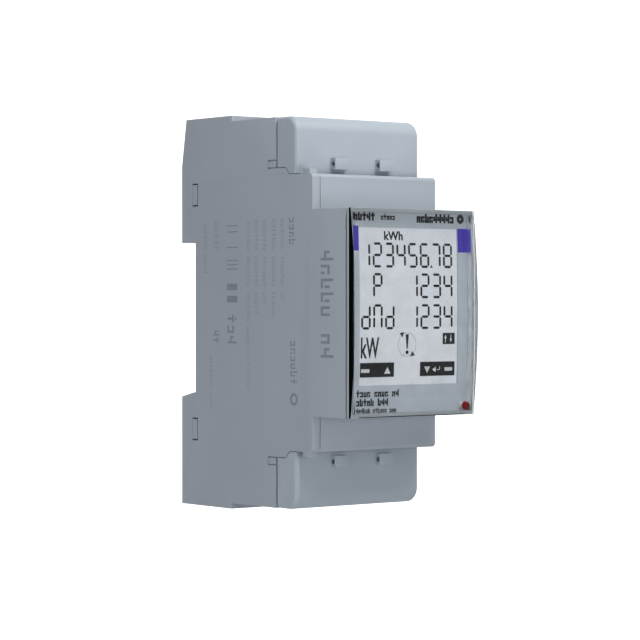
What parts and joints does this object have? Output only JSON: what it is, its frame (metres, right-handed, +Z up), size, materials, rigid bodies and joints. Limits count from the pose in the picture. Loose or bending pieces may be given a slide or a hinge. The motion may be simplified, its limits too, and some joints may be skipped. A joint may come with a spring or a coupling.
{
  "type": "smart electric meter",
  "caption": "Two-module electricity meter for a 35 mm top-hat rail, with an arched clear window over its display, hinged terminal covers, screw terminals and a sprung rail latch.",
  "frame": {"origin": "centre of the face that rests on the rail, at the middle of the 35 mm rail", "axes": "+X to the right across the front, +Y backwards into the rail, +Z up; the front faces -Y"},
  "size_m": [0.036, 0.0651, 0.091],
  "materials": {
    "case_grey": "satin",
    "cover_grey": "satin",
    "bezel_grey": "satin",
    "clear_lens": "gloss",
    "black_film": "gloss",
    "black_rubber": "matte",
    "label_print": "satin",
    "lcd_panel": "satin",
    "light_guide": "gloss",
    "holder_grey": "satin",
    "key_black": "gloss",
    "red_light": "gloss",
    "board_green": "satin",
    "chip_black": "matte",
    "connector_black": "matte",
    "nylon_white": "matte",
    "can_sleeve": "satin",
    "transformer_tape": "satin",
    "film_cap_yellow": "satin",
    "varistor_blue": "gloss",
    "cell_steel": "brushed",
    "insulation_film": "satin",
    "terminal_green": "satin",
    "copper_bar": "satin",
    "shunt_alloy": "satin",
    "cage_steel": "zinc plated",
    "screw_steel": "zinc plated",
    "pin_steel": "polished",
    "latch_plastic": "satin",
    "spring_steel": "plain"
  },
  "bodies": {
    "meter": {"main_case": "case_grey", "left_side_cover": "case_grey", "top_hinge_pin": "pin_steel", "bottom_hinge_pin": "pin_steel", "latch_spring": "spring_steel", "front_bezel": "bezel_grey", "lens_gasket": "black_rubber", "lens": "clear_lens", "label_plate": "label_print", "lcd_glass": "lcd_panel", "lens_edge_film": "black_film", "lcd_backlight": "light_guide", "display_holder": "holder_grey", "touch_keys": "key_black", "pulse_light": "red_light", "display_board": "board_green", "main_board": "board_green", "power_board": "board_green", "board_spacers": "nylon_white", "reservoir_capacitor": "can_sleeve", "supply_transformer": "transformer_tape", "film_capacitor": "film_cap_yellow", "surge_varistor": "varistor_blue", "metering_chip": "chip_black", "processor_chip": "chip_black", "clock_battery": "cell_steel", "board_connector": "connector_black", "insulation_sheet": "insulation_film", "data_terminal": "terminal_green", "line_busbar_top": "copper_bar", "line_busbar_bottom": "copper_bar", "neutral_busbar": "copper_bar", "current_shunt": "shunt_alloy"},
    "top_left_screw": {"top_left_screw": "screw_steel"},
    "top_left_cage": {"top_left_cage": "cage_steel"},
    "top_right_screw": {"top_right_screw": "screw_steel"},
    "top_right_cage": {"top_right_cage": "cage_steel"},
    "bottom_left_screw": {"bottom_left_screw": "screw_steel"},
    "bottom_left_cage": {"bottom_left_cage": "cage_steel"},
    "bottom_right_screw": {"bottom_right_screw": "screw_steel"},
    "bottom_right_cage": {"bottom_right_cage": "cage_steel"},
    "top_terminal_cover": {"top_terminal_cover": "cover_grey"},
    "bottom_terminal_cover": {"bottom_terminal_cover": "cover_grey"},
    "din_latch": {"din_latch": "latch_plastic"}
  },
  "joints": [
    {"name": "top_left_screw_turn", "type": "hinge", "parent": "meter", "child": "top_left_screw", "pos_m": [-0.0079, -0.03, 0.0389], "axis": [0, 1, 0], "range_deg": [0, 1710]},
    {"name": "top_left_cage_rise", "type": "slide", "parent": "meter", "child": "top_left_cage", "axis": [0, -1, 0], "range_m": [0, 0.0038]},
    {"name": "top_right_screw_turn", "type": "hinge", "parent": "meter", "child": "top_right_screw", "pos_m": [0.0079, -0.03, 0.0389], "axis": [0, 1, 0], "range_deg": [0, 1710]},
    {"name": "top_right_cage_rise", "type": "slide", "parent": "meter", "child": "top_right_cage", "axis": [0, -1, 0], "range_m": [0, 0.0038]},
    {"name": "bottom_left_screw_turn", "type": "hinge", "parent": "meter", "child": "bottom_left_screw", "pos_m": [-0.0079, -0.03, -0.0363], "axis": [0, 1, 0], "range_deg": [0, 1710]},
    {"name": "bottom_left_cage_rise", "type": "slide", "parent": "meter", "child": "bottom_left_cage", "axis": [0, -1, 0], "range_m": [0, 0.0038]},
    {"name": "bottom_right_screw_turn", "type": "hinge", "parent": "meter", "child": "bottom_right_screw", "pos_m": [0.0079, -0.03, -0.0363], "axis": [0, 1, 0], "range_deg": [0, 1710]},
    {"name": "bottom_right_cage_rise", "type": "slide", "parent": "meter", "child": "bottom_right_cage", "axis": [0, -1, 0], "range_m": [0, 0.0038]},
    {"name": "top_cover_hinge", "type": "hinge", "parent": "meter", "child": "top_terminal_cover", "pos_m": [0, -0.03223, 0.04455], "axis": [-1, 0, 0], "range_deg": [0, 90]},
    {"name": "bottom_cover_hinge", "type": "hinge", "parent": "meter", "child": "bottom_terminal_cover", "pos_m": [0, -0.03223, -0.04195], "axis": [1, 0, 0], "range_deg": [0, 90]},
    {"name": "din_latch_slide", "type": "slide", "parent": "meter", "child": "din_latch", "axis": [0, 0, -1], "range_m": [0, 0.0035], "stiffness_N_per_m": 600, "deforming": ["latch_spring"]}
  ],
  "couplings": [
    {"joint": "top_left_screw_turn", "follows": "top_left_cage_rise", "rad_per_m": 7854},
    {"joint": "top_right_screw_turn", "follows": "top_right_cage_rise", "rad_per_m": 7854},
    {"joint": "bottom_left_screw_turn", "follows": "bottom_left_cage_rise", "rad_per_m": 7854},
    {"joint": "bottom_right_screw_turn", "follows": "bottom_right_cage_rise", "rad_per_m": 7854}
  ]
}
